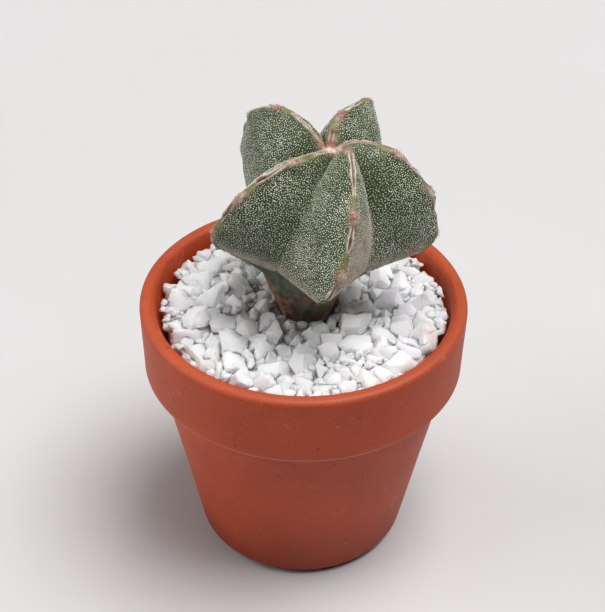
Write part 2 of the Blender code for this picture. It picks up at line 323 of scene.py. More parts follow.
def wear_and_highlight_at_edges(points):
    """How pale each point is: collar edge worn and painted highlight, lip top painted highlight."""
    radius = np.hypot(points[:, 0], points[:, 1])
    below_rim = POT_HEIGHT - points[:, 2]
    edge_depth = COLLAR_HEIGHT - COLLAR_ROUNDING / 2
    from_edge = np.hypot(radius - COLLAR_FOOT_RADIUS, edge_depth - below_rim)
    lip = ease(1 - below_rim / LIP_ROUNDING) * ease((radius - RIM_RADIUS + LIP_WALL) / LIP_HIGHLIGHT_FADE)
    return COLLAR_WEAR_AND_HIGHLIGHT * bell(from_edge, WEAR_AND_HIGHLIGHT_WIDTH) + LIP_HIGHLIGHT * lip


def keep_values(piece, name, values):
    """Store one number for each point of a piece, for its material to read."""
    attribute = piece.data.attributes.new(name, "FLOAT", "POINT")
    attribute.data.foreach_set("value", np.asarray(values, np.float32).ravel())


def make_pot():
    points, faces = sweep(pot_section(), POT_STEPS)
    wave = waviness(points, CLAY_WAVE_SIZE)
    above_foot = ease(points[:, 2] / FOOT_ROUNDING)
    outward = points[:, :2] / np.hypot(points[:, 0], points[:, 1])[:, None]
    # Wear and painted highlight at the collar's edge, painted highlight on the lip's top.
    edge_wear_and_highlight = wear_and_highlight_at_edges(points)
    # Painted shade: darker towards the foot.
    foot_shade = FOOT_SHADE_SHARE * ease(1 - (points[:, 2] + FOOT_SHADE_WANDER * wave) / FOOT_SHADE_HEIGHT)
    points[:, :2] -= outward * (CLAY_WAVE * (1 + wave) * above_foot)[:, None]
    pot = add_piece("clay_pot", points, faces, fired_red_clay())
    keep_values(pot, "wear_and_highlight", edge_wear_and_highlight)
    keep_values(pot, "foot_shade", foot_shade)
    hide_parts("terracotta_pot")


make_pot()

# %% [markdown]
# ## Potting mix
# Peat and bark fill the pot under the chips. Hardly any of it can be seen, so the CAD solid stays
# and only gets a finish: dark and rough, with crumbs of a millimetre or two.

# %% The soil's finish
PEAT = "2b2019"
BARK = "5a4534"
CRUMB_SIZE = 1.6


def potting_mix():
    material, tree, shader, place = start_material("potting_mix", roughness=0.95, ior=1.45)
    crumbs = add(tree, "TexVoronoi", sized(place, CRUMB_SIZE))
    distance = crumbs.outputs["Distance"]
    dress(tree, shader, overlay(tree, linear(PEAT), [(distance, BARK)]), distance, 1.0, 0.4)
    return material


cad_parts["potting_soil"].data.materials.clear()
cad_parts["potting_soil"].data.materials.append(potting_mix())

# %% [markdown]
# ## One marble chip
# A crushed chip is what is left between a few breaks, so it is a flat wedge with large faces: the
# space inside a few planes round a squashed ball. Corners are where three planes meet and no other
# cuts them off. The faces of their hull are divided and moved in and out by noise, because marble
# breaks rough, and the edges are rubbed round in the bag.

# %% Break chips out of planes
CHIP_SHAPES = 60
CHIP_PLANES = 10
CHIP_AXES = (1.0, 0.76, 0.44)
PLANE_REACH = (0.55, 1.0)
PLANE_JITTER = 0.4
FARTHEST_CORNER = 1.35
FACE_CUTS = 2
ROUGH_BREAK = ((0.17, 0.7), (0.11, 0.3))
EDGE_RUB = 0.25
LEAST_DETERMINANT = 1e-3
NOISE_SHIFT = 50
FLAT_ANGLE = math.radians(1)
BREAK_ANGLE = math.radians(28)
GOLDEN_ANGLE = math.pi * (3 - math.sqrt(5))
random_chips = np.random.default_rng(5)


def unit(vectors):
    return vectors / np.linalg.norm(vectors, axis=-1)[..., None]


def plane_set(draw):
    """Outward normals and distances of the planes that bound one chip."""
    order = np.arange(CHIP_PLANES) + 0.5
    height = 1 - 2 * order / CHIP_PLANES
    ring = np.sqrt(1 - height ** 2)
    angle = GOLDEN_ANGLE * order
    spread = np.column_stack([ring * np.cos(angle), ring * np.sin(angle), height])
    turn = np.linalg.qr(draw.normal(size=(3, 3)))[0]
    normals = unit(spread @ turn + draw.normal(size=spread.shape) * PLANE_JITTER)
    reach = np.linalg.norm(normals * CHIP_AXES, axis=1) * draw.uniform(*PLANE_REACH, CHIP_PLANES)
    return normals, reach


def corners_of(normals, reach):
    """Points where three planes meet inside all the others."""
    picks = np.array([(i, j, k) for i in range(CHIP_PLANES) for j in range(i) for k in range(j)])
    matrices = normals[picks]
    firm = np.abs(np.linalg.det(matrices)) > LEAST_DETERMINANT
    points = np.linalg.solve(matrices[firm], reach[picks][firm][..., None])[..., 0]
    inside = np.all(points @ normals.T <= reach + TINY, axis=1)
    return points[inside]


def chip_planes(draw):
    """Planes and corners of a chip without a spike."""
    while True:
        normals, reach = plane_set(draw)
        corners = corners_of(normals, reach)
        if np.linalg.norm(corners, axis=1).max() < FARTHEST_CORNER:
            return normals, reach, corners


def chip_shape(draw):
    """Planes, points and triangles of one chip about a millimetre in radius."""
    normals, reach, corners = chip_planes(draw)
    bm = bmesh.new()
    for corner in corners:
        bm.verts.new(corner)
    bmesh.ops.convex_hull(bm, input=bm.verts)
    bmesh.ops.dissolve_limit(bm, angle_limit=FLAT_ANGLE, verts=bm.verts, edges=bm.edges)
    bmesh.ops.triangulate(bm, faces=bm.faces)
    bmesh.ops.subdivide_edges(bm, edges=bm.edges[:], cuts=FACE_CUTS, use_grid_fill=True)
    bmesh.ops.smooth_vert(bm, verts=bm.verts, factor=EDGE_RUB, use_axis_x=True, use_axis_y=True,
                          use_axis_z=True)
    bmesh.ops.recalc_face_normals(bm, faces=bm.faces)
    bm.verts.index_update()
    points = np.array([v.co[:] for v in bm.verts])
    outward = np.array([v.normal[:] for v in bm.verts])
    faces = [[v.index for v in face.verts] for face in bm.faces]
    bm.free()
    shift = draw.uniform(-NOISE_SHIFT, NOISE_SHIFT, 3)
    for depth, size in ROUGH_BREAK:
        points = points + outward * (depth * waviness(points + shift, size, 2))[:, None]
    return normals, reach, points, faces


chip_library = [chip_shape(random_chips) for _ in range(CHIP_SHAPES)]
print("faces on a chip:", min(len(c[3]) for c in chip_library), "to",
      max(len(c[3]) for c in chip_library))

# %% [markdown]
# ## Settle the chips
# Real chips are tipped in and come to rest on each other. A height map of the bed stands in for
# that. It starts as the lower chips, which are one lumpy sheet because little of them shows between
# the top ones. Each chip tries a few spots, is lowered onto the map until it touches, nestles in a
# little, and takes the spot where it lies lowest. Then the map takes its top side, so the next
# chip rests on it. Large chips go first and small ones fill the gaps, as in a bag that was shaken.

# %% Lower the chips onto the bed
BED_EDGE = 49.4
BED_MIDDLE = 49.2
SHEET_DEPTH = 0.15
SHEET_LUMP = 0.6
SHEET_LUMP_SIZE = 2.2
STEM_ROOM = 5.0
PLANT_FOOT = np.array((0.3, 1.0, 49.0))
MAP_STEP = 0.2
CHIP_CLASSES = ((600, (2.3, 4.0), 0.7), (360, (1.4, 2.3), 0.9), (150, (0.7, 1.3), 1.3))
SPOT_TRIES = 25
CHIP_TILT = math.radians(17)
WALL_GAP = 0.12
CHIP_SINK = 0.54
FAR_OFF = 1000.0


def bed_height(radius):
    """Level of the bed, a little lower round the stem."""
    return BED_MIDDLE + (BED_EDGE - BED_MIDDLE) * np.minimum(1.0, radius / inner_radius(BED_EDGE))


def chip_turn(draw):
    """A rotation that leaves the chip's flat side nearly level."""
    lean = Matrix.Rotation(float(draw.normal() * CHIP_TILT), 3, "X")
    about = Matrix.Rotation(float(draw.uniform(0, math.tau)), 3, "Z")
    spin = Matrix.Rotation(float(draw.uniform(0, math.tau)), 3, "Z")
    return np.array(about @ lean @ spin)


def chip_sides(normals, reach, grid):
    """Height of a chip's top and underside over a patch of the map, far off beside it."""
    slopes = grid @ normals[:, :2].T
    rest = (reach - slopes) / np.where(np.abs(normals[:, 2]) < TINY, TINY, normals[:, 2])
    top = np.min(np.where(normals[:, 2] > 0, rest, FAR_OFF), axis=-1)
    under = np.max(np.where(normals[:, 2] < 0, rest, -FAR_OFF), axis=-1)
    beside = top <= under
    return np.where(beside, -FAR_OFF, top), np.where(beside, FAR_OFF, under)


def lumpy_sheet(across, deep):
    """Height of the lower chips' upper side over the map."""
    flat = np.stack([across, deep, np.zeros_like(across)], -1)
    lumps = waviness(flat, SHEET_LUMP_SIZE, 2)
    return bed_height(np.hypot(across, deep)) - SHEET_DEPTH + SHEET_LUMP * lumps


map_axis = np.arange(-RIM_RADIUS, RIM_RADIUS + MAP_STEP, MAP_STEP)
map_across, map_deep = np.meshgrid(map_axis, map_axis, indexing="ij")
sheet_level = lumpy_sheet(map_across, map_deep)


def find_spot(draw, level, shape, under, half, size, cap):
    """The lowest of a few free spots for a chip, or nothing."""
    best = None
    for _ in range(SPOT_TRIES):
        radius = inner_radius(BED_EDGE) * math.sqrt(draw.random())
        angle = draw.uniform(0, math.tau)
        row = round((RIM_RADIUS + radius * math.cos(angle)) / MAP_STEP)
        column = round((RIM_RADIUS + radius * math.sin(angle)) / MAP_STEP)
        if min(row, column) < half or max(row, column) + half >= len(map_axis):
            continue
        spot = np.array((map_axis[row], map_axis[column]))
        window = (slice(row - half, row + half + 1), slice(column - half, column + half + 1))
        height = float(np.max(level[window] - under)) - CHIP_SINK * size
        above = height - bed_height(radius)
        outermost = np.hypot(*(shape[:, :2] + spot).T).max()
        if above > cap or outermost > inner_radius(height) - WALL_GAP:
            continue
        if best is None or above < best[0]:
            best = (above, height, spot, window)
    return best


def settle_chips(draw):
    """Lower all chips; returns points, faces and a tone for each point."""
    level = sheet_level.copy()
    level[np.hypot(map_across - PLANT_FOOT[0], map_deep - PLANT_FOOT[1]) < STEM_ROOM] = FAR_OFF
    points, faces, tones, total = [], [], [], 0
    for count, sizes, cap in CHIP_CLASSES:
        placed = 0
        for _ in range(count):
            normals, reach, shape, polygons = chip_library[draw.integers(CHIP_SHAPES)]
            size = draw.uniform(*sizes)
            turn = chip_turn(draw)
            shape = shape @ turn.T * size
            half = int(np.ceil(np.abs(shape[:, :2]).max() / MAP_STEP))
            patch = np.arange(-half, half + 1) * MAP_STEP
            grid = np.stack(np.meshgrid(patch, patch, indexing="ij"), -1)
            top, under = chip_sides(normals @ turn.T, reach * size, grid)
            best = find_spot(draw, level, shape, under, half, size, cap)
            if best is None:
                continue
            _, height, spot, window = best
            level[window] = np.maximum(level[window], top + height)
            points.append(shape + (*spot, height))
            faces += [[index + total for index in polygon] for polygon in polygons]
            tones.append(np.full(len(shape), draw.random()))
            total += len(shape)
            placed += 1
        print("chips of", sizes, "mm radius placed:", placed)
    return np.vstack(points), faces, np.concatenate(tones)


# %% [markdown]
# ## Crushed marble
# Marble is a mass of calcite crystals, so a fresh break is bright white and sugary, and light sinks
# in a little. Most chips are neutral white, some lean to lilac grey and a few to pink. The tone is
# chosen chip by chip, and clouds inside each chip break it up.

# %% The marble's finish and the bed
MARBLE = "fbfaf9"
MARBLE_TONES = (("f8f8f9", 0.5), ("f0eff4", 0.82), ("f4ebe8", 0.96))
MARBLE_VEIL = "ecebf0"
CRYSTAL_SIZE = 0.35
MARBLE_DEPTH = 2.2
MARBLE_CLOUD_SIZE = 2.2


def crushed_marble():
    material, tree, shader, place = start_material("crushed_marble", roughness=0.5, ior=1.55)
    shader.inputs["Subsurface Weight"].default_value = 1.0
    shader.inputs["Subsurface Radius"].default_value = (1.0, 0.97, 0.95)
    shader.inputs["Subsurface Scale"].default_value = MARBLE_DEPTH * MM
    tone = add(tree, "Attribute", attribute_name="tone").outputs["Fac"]
    layers = [(add(tree, "Math", {0: tone, 1: start}, operation="GREATER_THAN").outputs[0], code)
              for code, start in MARBLE_TONES]
    clouds = add(tree, "TexNoise", sized(place, MARBLE_CLOUD_SIZE, Detail=3.0))
    veil = add(tree, "MapRange", {"Value": clouds.outputs["Fac"], "From Min": 0.45,
                                  "From Max": 0.75, "To Max": 0.35})
    layers.append((veil.outputs["Result"], MARBLE_VEIL))
    crystals = add(tree, "TexVoronoi", sized(place, CRYSTAL_SIZE))
    colour = overlay(tree, linear(MARBLE), layers)
    dress(tree, shader, colour, crystals.outputs["Distance"], 0.5, 0.08)
    return material


# %% Build the bed
SHEET_STEP = 0.5
SHEET_ANGLES = 180
SHEET_FOOT = 43.0
SHEET_TONE = 0.3


def sheet_solid():
    """The lower chips as one closed body: a round grid with a lumpy top and a level underside."""
    radii = np.arange(0.0, inner_radius(SHEET_FOOT) - WALL_GAP, SHEET_STEP)[1:]
    angles = np.linspace(0, math.tau, SHEET_ANGLES, endpoint=False)
    across = np.outer(radii, np.cos(angles))
    deep = np.outer(radii, np.sin(angles))
    top = np.stack([across, deep, lumpy_sheet(across, deep)], -1)
    foot = np.stack([across[-1], deep[-1], np.full(SHEET_ANGLES, SHEET_FOOT)], -1)
    points = np.vstack([top.reshape(-1, 3), foot, top[0].mean(axis=0), (0.0, 0.0, SHEET_FOOT)])
    return points, grid_faces(len(radii) + 1, SHEET_ANGLES)


def make_chips():
    points, faces, tones = settle_chips(random_chips)
    sheet, sheet_faces = sheet_solid()
    faces += [[index + len(points) for index in polygon] for polygon in sheet_faces]
    tones = np.concatenate([tones, np.full(len(sheet), SHEET_TONE)])
    points = np.vstack([points, sheet])
    chips = add_piece("marble_chips", points, faces, crushed_marble())
    chips.data.set_sharp_from_angle(angle=BREAK_ANGLE)
    keep_values(chips, "tone", tones)
    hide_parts("gravel")
    print("chips reach up to mm:", round(float(points[:, 2].max()), 1))


make_chips()

# %% [markdown]
# ## The plant's outline
# The head is a star of five ribs on a waisted stem, grown in one piece. Each rib has a crest line
# and shares a valley line with its neighbour. Both follow one outline, from the apex over the head,
# under it and down the stem. Each rib bends it: where it points, how it sweeps, how far it reaches,
# how it bulges, and how high its brow, shoulder and tip stand. The values are the CAD solid's.

# %% Crest and valley lines
LEAN_FORWARD = math.radians(1.4)
LEAN_RIGHT = math.radians(6.6)
RIBS = (
    (138.0, -15.0, 1.02, 0.8, (0.6, 2.1, -1.2)),
    (214.0, -26.0, 0.95, 1.0, (-2.2, -2.0, -1.6)),
    (285.0, -22.0, 1.05, 1.0, (0.8, -0.4, -0.4)),
    (354.5, -1.0, 0.98, 1.0, (-0.1, -0.5, -0.5)),
    (428.0, -11.0, 1.01, 1.0, (1.4, 3.8, 2.5)),
)
LIFT_PLACES = (0.25, 0.6, 1.0)
SWEEP_PIVOT = 0.4
APEX_TWIST = 30.0
TWISTED_STATIONS = 2.5
TIP_STATION = 8
STEM_STATION = 14
STEM_BOW = -1.0
BOW_HEIGHT = 8.0
BOW_REACH = 8.0
STATIONS = np.array((
    (0.9, 35.5, 0.8, 35.0), (4.5, 37.6, 2.7, 34.7), (9.2, 37.6, 5.3, 33.4),
    (13.3, 35.8, 7.8, 31.2), (16.8, 32.9, 9.9, 28.3), (19.4, 28.9, 11.4, 25.0),
    (20.8, 24.8, 12.2, 21.8), (20.9, 21.6, 12.4, 19.4), (20.0, 19.2, 11.9, 17.4),
    (17.4, 16.9, 10.7, 15.6), (14.6, 14.8, 9.5, 13.8), (12.0, 13.0, 8.9, 12.0),
    (9.6, 11.3, 8.5, 10.2), (8.0, 9.2, 8.3, 8.4), (6.8, 6.2, 7.3, 5.6),
    (5.7, 2.8, 6.3, 2.5), (4.8, -1.5, 5.2, -1.5), (4.3, -6.0, 4.5, -6.0)))
ROWS_PER_STATION = 9


def smooth_through(points, steps):
    """A Catmull-Rom curve through the rows of an array."""
    ends = np.vstack([points[:1], points, points[-1:]])
    t = (np.arange(steps) / steps)[:, None]
    spans = [0.5 * (2 * q + (r - p) * t + (2 * p - 5 * q + 4 * r - s) * t ** 2
                    + (3 * q - p - 3 * r + s) * t ** 3)
             for p, q, r, s in zip(ends, ends[1:], ends[2:], ends[3:])]
    return np.vstack([*spans, points[-1:]])


outline = smooth_through(STATIONS, ROWS_PER_STATION)
station = np.arange(len(outline)) / ROWS_PER_STATION


def rib_course(rib):
    """Azimuth in degrees, reach and lift of a rib on every row."""
    azimuth, sweep_angle, reach, _, lifts = rib
    head = np.minimum(1.0, station / TIP_STATION)
    under = ease((station - TIP_STATION) / (STEM_STATION - TIP_STATION))
    twist = APEX_TWIST * np.maximum(0.0, 1.0 - station / TWISTED_STATIONS) ** 2
    raised = np.zeros_like(station)
    last_place, last_lift = 0.0, 0.0
    for place, lift in zip(LIFT_PLACES, lifts):
        raised += (lift - last_lift) * ease((head - last_place) / (place - last_place))
        last_place, last_lift = place, lift
    return (azimuth + sweep_angle * (head - SWEEP_PIVOT) + twist,
            reach + (1.0 - reach) * under, raised * (1.0 - under))


def plant_points(radius, azimuth, height):
    """Points in the plant's own frame, with the stem's bow."""
    angle = np.radians(azimuth)
    bow = STEM_BOW * ease(1.0 - np.abs(height - BOW_HEIGHT) / BOW_REACH)
    return np.stack([radius * np.cos(angle) + bow, radius * np.sin(angle), height], -1)


courses = [rib_course(rib) for rib in RIBS]
crests, valleys = [], []
for index, (azimuth, reach, lift) in enumerate(courses):
    next_azimuth, next_reach, next_lift = courses[(index + 1) % len(RIBS)]
    turn = 360.0 if index == len(RIBS) - 1 else 0.0
    crests.append(plant_points(outline[:, 0] * reach, azimuth, outline[:, 1] + lift))
    valleys.append(plant_points(outline[:, 2] * (reach + next_reach) / 2,
                                (azimuth + next_azimuth + turn) / 2,
                                outline[:, 3] + (lift + next_lift) / 2))
crest_run = [np.concatenate([[0.0], np.cumsum(np.linalg.norm(np.diff(line, axis=0), axis=1))])
             for line in crests]
print("crest lengths in mm:", [round(float(run[-1])) for run in crest_run])

# %% [markdown]
# ## The plant's skin as a grid
# Rows run down from the apex and columns round the plant. Each rib has one flank, a narrow strip
# along the crest and the other flank, and the columns crowd near the crest, where the small marks
# are. Flanks bulge like a pillow near the apex and flatten towards the tip.

# %% Lay the grid over ribs and valleys
CREST_HALF_WIDTH = 0.5
APEX_WIDTH_SHARE = 0.4
STRIP_COLUMNS = 13
FLANK_COLUMNS = 28
COLUMN_CROWDING = 1.6
FLANK_BULGE = (0.13, 0.01)


def flank_points(edge, crest, valley, puff, shares):
    """A flank's grid from the crest's edge to the valley, gently bulging outwards."""
    across = valley - edge
    along = np.gradient((crest + valley) / 2, axis=0)
    swell = np.cross(along, across)
    swell /= np.linalg.norm(swell, axis=1)[:, None]
    head = np.minimum(1.0, station / TIP_STATION)
    bulge = FLANK_BULGE[0] + (FLANK_BULGE[1] - FLANK_BULGE[0]) * head
    swell *= (np.linalg.norm(across, axis=1) * bulge * puff)[:, None]
    shares = shares[None, :, None]
    return edge[:, None] + across[:, None] * shares + swell[:, None] * np.sin(np.pi * shares)


def rib_grid(index):
    """Grid of one rib from the valley before it to the valley after it, and its coordinates:
    distance from the crest, share of the flank, and side (-1 before the crest, 1 after it)."""
    crest, before, after = crests[index], valleys[index - 1], valleys[index]
    side = np.stack([-crest[:, 1], crest[:, 0], np.zeros(len(crest))], -1)
    side /= np.linalg.norm(side, axis=1)[:, None]
    width = np.minimum(CREST_HALF_WIDTH,
                       APEX_WIDTH_SHARE * np.hypot(crest[:, 0], crest[:, 1]))
    puff = RIBS[index][3]
    shares = (np.arange(1, FLANK_COLUMNS + 1) / FLANK_COLUMNS) ** COLUMN_CROWDING
    steps = np.linspace(-1, 1, STRIP_COLUMNS)
    strip = crest[:, None] + side[:, None] * (width[:, None] * steps)[..., None]
    left = flank_points(strip[:, 0], crest, before, -puff, shares[:-1])[:, ::-1]
    right = flank_points(strip[:, -1], crest, after, puff, shares)
    grid = np.concatenate([left, strip, right], axis=1)
    share = np.concatenate([shares[:-1][::-1], np.zeros(STRIP_COLUMNS), shares])
    sides = np.concatenate([-np.ones(FLANK_COLUMNS - 1), np.sign(steps), np.ones(FLANK_COLUMNS)])
    middle = FLANK_COLUMNS - 1 + STRIP_COLUMNS // 2
    spans = np.linalg.norm(np.diff(grid, axis=1), axis=2)
    run = np.concatenate([np.zeros((len(grid), 1)), np.cumsum(spans, axis=1)], axis=1)
    return grid, np.abs(run - run[:, middle:middle + 1]), share, sides


grids = [rib_grid(index) for index in range(len(RIBS))]
skin_points, from_crest = (np.concatenate([g[k] for g in grids], axis=1) for k in (0, 1))
flank_share, flank_side = (np.broadcast_to(np.concatenate([g[k] for g in grids]), from_crest.shape)
                           for k in (2, 3))
rib_of_column = np.repeat(np.arange(len(RIBS)), grids[0][0].shape[1])
along_crest = np.stack([crest_run[rib] for rib in rib_of_column], axis=1)
station_grid = np.broadcast_to(station[:, None], from_crest.shape)
print("skin grid, rows by columns:", from_crest.shape)


def outward_normals(points):
    """Unit normals of a grid that closes on itself round the plant."""
    down = np.gradient(points, axis=0)
    around = np.roll(points, -1, axis=1) - np.roll(points, 1, axis=1)
    normal = np.cross(down, around)
    return normal / np.maximum(np.linalg.norm(normal, axis=2), TINY)[..., None]


# %% [markdown]
# ## Growth marks along the crests
# An areole is a small cushion of wool. A cactus grows them at its tip, one after another along each
# crest, and as the rib grows they drift apart. From each, two thin corky lips run on with a groove
# between them, then comes a bare olive stretch. The distances from the apex are read off the real
# plant, and the rest follows from them.

# %% Lips, bare stretches and areoles
AREOLES = ((12.9, 21.8, 31.0), (8.2, 19.4, 28.5), (4.9, 18.8, 28.6), (11.3, 20.8, 29.8),
           (6.3, 17.8, 27.0))
FIRST_LIPS = 0.3
SHORTEST_LIPS = 1.0
LIPS_START = 1.0
LIPS_END = 3.4
LAST_LIPS = 6.0
LIP_FADE = 0.7
LIP_SPREAD = (0.2, 0.14)
LIP_WIDTH = 0.17
LIP_HEIGHT = 0.24
GROOVE_DEPTH = 0.16
GROOVE_SHARE = 0.6
BARE_START = 1.0
BARE_WIDTH = 1.1
BARE_CLEARANCE = 1.6
AREOLE_LENGTH = 1.15
AREOLE_WIDTH = 0.6
AREOLE_RISE = 0.26
BROW_RISE = 0.35
BROW_LENGTH = 2.0
LIP_WANDER = 0.6
WANDER_SIZE = 2.0


def crest_marks(rib):
    """Weights of lips, areole and bare stretch along one crest, and how far the lips spread."""
    run = crest_run[rib]
    lips, spread, areole, brow = (np.zeros_like(run) for _ in range(4))
    start = FIRST_LIPS
    for mark in [*AREOLES[rib], AREOLES[rib][-1] + LAST_LIPS + LIPS_END]:
        end = mark - LIPS_END
        if end > start + SHORTEST_LIPS:
            weight = ease((run - start) / LIP_FADE) * ease((end - run) / LIP_FADE)
            phase = np.clip((run - start) / (end - start), 0, 1)
            lips = np.maximum(lips, weight)
            spread = np.maximum(spread, LIP_SPREAD[1] * np.sin(np.pi * phase))
        start = mark + LIPS_START
    for mark in AREOLES[rib]:
        areole = np.maximum(areole, bell(run - mark, AREOLE_LENGTH))
        brow = np.maximum(brow, bell(run - mark, BROW_LENGTH))
    last = AREOLES[rib][-1] + LAST_LIPS
    bare = (1 - lips) * (1 - np.minimum(1, BARE_CLEARANCE * areole)) * ease((last - run) / LIP_FADE)
    bare *= ease((run - BARE_START) / LIP_FADE)
    return lips, LIP_SPREAD[0] + spread, areole, brow, bare


marks = [crest_marks(rib) for rib in range(len(RIBS))]
lips, spread, areole, brow, bare = (np.stack([marks[rib][k] for rib in rib_of_column], axis=1)
                                    for k in range(5))
wander = waviness(skin_points, WANDER_SIZE, 2)
on_lip = lips * bell(from_crest - spread * (1 + LIP_WANDER * wander), LIP_WIDTH)
in_groove = lips * bell(from_crest, GROOVE_SHARE * spread + 0.01)
on_areole = areole * bell(from_crest, AREOLE_WIDTH)
on_bare = bare * bell(from_crest, BARE_WIDTH)
print("areoles:", sum(len(row) for row in AREOLES))

# %% [markdown]
# ## Relief of the skin
# The grid is moved along its normals: lips up, the groove between them down, areoles up as low
# cushions, and the whole crest a little higher at each areole. Broad waves keep the flanks from
# looking machined, and under the head the skin is bumpy.

# %% Push the relief out of the grid
BROAD_WAVE = 0.22
BROAD_SIZE = 7.0
SMALL_WAVE = 0.05
SMALL_SIZE = 1.4
UNDER_BUMP = 0.16
UNDER_STATION = 8.6
UNDER_FADE = 0.8
LUMP_SIZE = 0.77
WOOL_LUMP = 0.9
CREST_LUMP = 0.2
CREST_LUMP_WIDTH = 1.0
BARE_RISE = 0.1
BROW_WIDTH = 1.5
CALM_RADIUS = 0.8
CALM_FADE = 1.5

normals = outward_normals(skin_points)
tip_radius = np.hypot(skin_points[..., 0], skin_points[..., 1])
away_from_apex = ease((tip_radius - CALM_RADIUS) / CALM_FADE)
under_head = ease((station_grid - UNDER_STATION + 0.5 * wander) / UNDER_FADE)
broad = waviness(skin_points, BROAD_SIZE)
small = waviness(skin_points, SMALL_SIZE)
lumps = waviness(skin_points, LUMP_SIZE, 2)
relief = (LIP_HEIGHT * on_lip * (1 + wander) - GROOVE_DEPTH * in_groove + BARE_RISE * on_bare
          + CREST_LUMP * wander * bell(from_crest, CREST_LUMP_WIDTH)
          + AREOLE_RISE * on_areole * (1 + WOOL_LUMP * lumps)
          + BROW_RISE * brow * bell(from_crest, BROW_WIDTH) * (1 - under_head))
relief = relief * away_from_apex
relief += (BROAD_WAVE * broad + SMALL_WAVE * small) * away_from_apex
relief += UNDER_BUMP * under_head * lumps
skin_points = skin_points + normals * relief[..., None]
normals = outward_normals(skin_points)
print("relief in mm:", round(float(relief.min()), 2), "to", round(float(relief.max()), 2))

# %% [markdown]
# ## Where each colour lies
# The skin's colours follow its growth, so each is a mask worked out from the same coordinates:
# fresh green by the apex, olive on bare crests, grey-tan felt where the flanks turn under, dark
# green below and brown cork on the stem. The masks are stored on the points for the material.

# %% Masks for the skin's finish
FELT_FROM = ((5.8, 6.6), (6.6, 6.9), (6.9, 3.2), (6.2, 6.6), (6.2, 5.2))
FELT_FADE = 1.5
FELT_COVER = 0.85
FELT_END = 8.9
FRESH_STATIONS = 1.6
CORK_STATION = 12.0
CORK_WANDER = 3.0
CORK_FADE = 2.2
CROWN_WOOL_STATIONS = 0.5


def by_side(table):
    """Spread a table with one row for each rib and one value for each side over the grid."""
    rows = np.array(table)[rib_of_column]
    return np.where(flank_side < 0, rows[:, 0], rows[:, 1])


def felt_mask():
    """Felt on the lower part of each flank, from its own station to the turn under the head."""
    inner = ease((flank_share - 0.02) / 0.1)
    shade = ease((station_grid - by_side(FELT_FROM) + 0.5 * broad) / FELT_FADE)
    return FELT_COVER * shade * inner * (1 - ease((station_grid - FELT_END + 0.5 * wander) / 0.5))


masks = {
    "fresh": bell(station_grid, FRESH_STATIONS) * ease(0.6 + 1.2 * broad),
    "olive": on_bare,
    "felt": felt_mask(),
    "under": under_head,
    "cork": ease((station_grid - CORK_STATION + CORK_WANDER * broad) / CORK_FADE),
    "groove": in_groove,
    "lip": on_lip,
    "wool": np.clip(1.5 * on_areole, 0, 1) + bell(station_grid, CROWN_WOOL_STATIONS),
}


def to_world(points):
    """From the plant's own frame to the row frame: it leans and stands in the gravel."""
    turn = Matrix.Rotation(LEAN_RIGHT, 3, "Y") @ Matrix.Rotation(LEAN_FORWARD, 3, "X")
    return np.asarray(points) @ np.array(turn).T + PLANT_FOOT


# %% [markdown]
# ## The skin's finish
# A cactus skin is living tissue under a thin coat of wax, so it is satin and dark green. Its finish
# starts from that green and lays the masks over it, each with a pale and a deep colour in patches.
# Noise roughens a mask's edge, because no colour on a plant ends in a clean line. The patterns are
# clouds of 3 mm, a fine grain and a mottle, each given by its size and its detail.

# %% Waxy cactus skin
SKIN_DARK = "2a3920"
SKIN_LIGHT = "4a5937"
SKIN_LAYERS = (("fresh", "5d6f3c", "4b5c36"), ("olive", "8c8557", "696b40"),
               ("felt", "989080", "726c5b"), ("under", "4d5d42", "3a4930"),
               ("cork", "80705c", "6c3b2e"), ("groove", "7d6454", "4e3a2e"),
               ("lip", "e4d6c8", "bf9886"), ("wool", "decbbd", "a96a5a"))
SKIN_PATTERNS = ((3.0, 4.0), (0.18, 2.0), (1.7, 3.0))


def waxy_cactus_skin():
    material, tree, shader, place = start_material("waxy_cactus_skin", roughness=0.55, ior=1.42)
    clouds, grain, mottle = (add(tree, "TexNoise", sized(place, size, Detail=detail))
                             for size, detail in SKIN_PATTERNS)
    colour = overlay(tree, linear(SKIN_DARK), [(clouds.outputs["Fac"], SKIN_LIGHT)])
    patch = add(tree, "MapRange", {"Value": mottle.outputs["Fac"], "From Min": 0.4,
                                   "From Max": 0.6})
    broken = add(tree, "MapRange", {"Value": grain.outputs["Fac"], "From Min": 0.3,
                                    "From Max": 0.7, "To Min": 0.75, "To Max": 1.25})
    for name, pale, deep in SKIN_LAYERS:
        mask = add(tree, "Attribute", attribute_name=name)
        weight = add(tree, "Math", {0: mask.outputs["Fac"], 1: broken.outputs["Result"]},
                     operation="MULTIPLY", use_clamp=True)
        layer = overlay(tree, linear(pale), [(patch.outputs["Result"], deep)])
        colour = overlay(tree, colour, [(weight.outputs[0], layer)])
    dress(tree, shader, colour, grain.outputs["Fac"], 0.4, 0.05)
    return material


def make_skin():
    rows, columns = from_crest.shape
    ends = np.array([(0.0, 0.0, STATIONS[0][1] + 0.5), skin_points[-1].mean(axis=0)])
    points = to_world(np.vstack([skin_points.reshape(-1, 3), ends]))
    skin = add_piece("cactus_body", points, grid_faces(rows, columns), waxy_cactus_skin())
    for name, values in masks.items():
        keep_values(skin, name, np.append(values.ravel(), (values[0].mean(), values[-1].mean())))
    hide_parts("cactus")


make_skin()

# %% [markdown]
# ## Felt flecks
# The pale dots on the skin are tufts of matted hair, a third of a millimetre wide. They keep off
# each other, which a plain random scatter doesn't do. So candidates are drawn over the skin by
# area, and one is kept only where no fleck lies nearer than the spacing. A grid of small cells
# makes that test quick. Each fleck is a real low mound, so it also shows in the mesh.

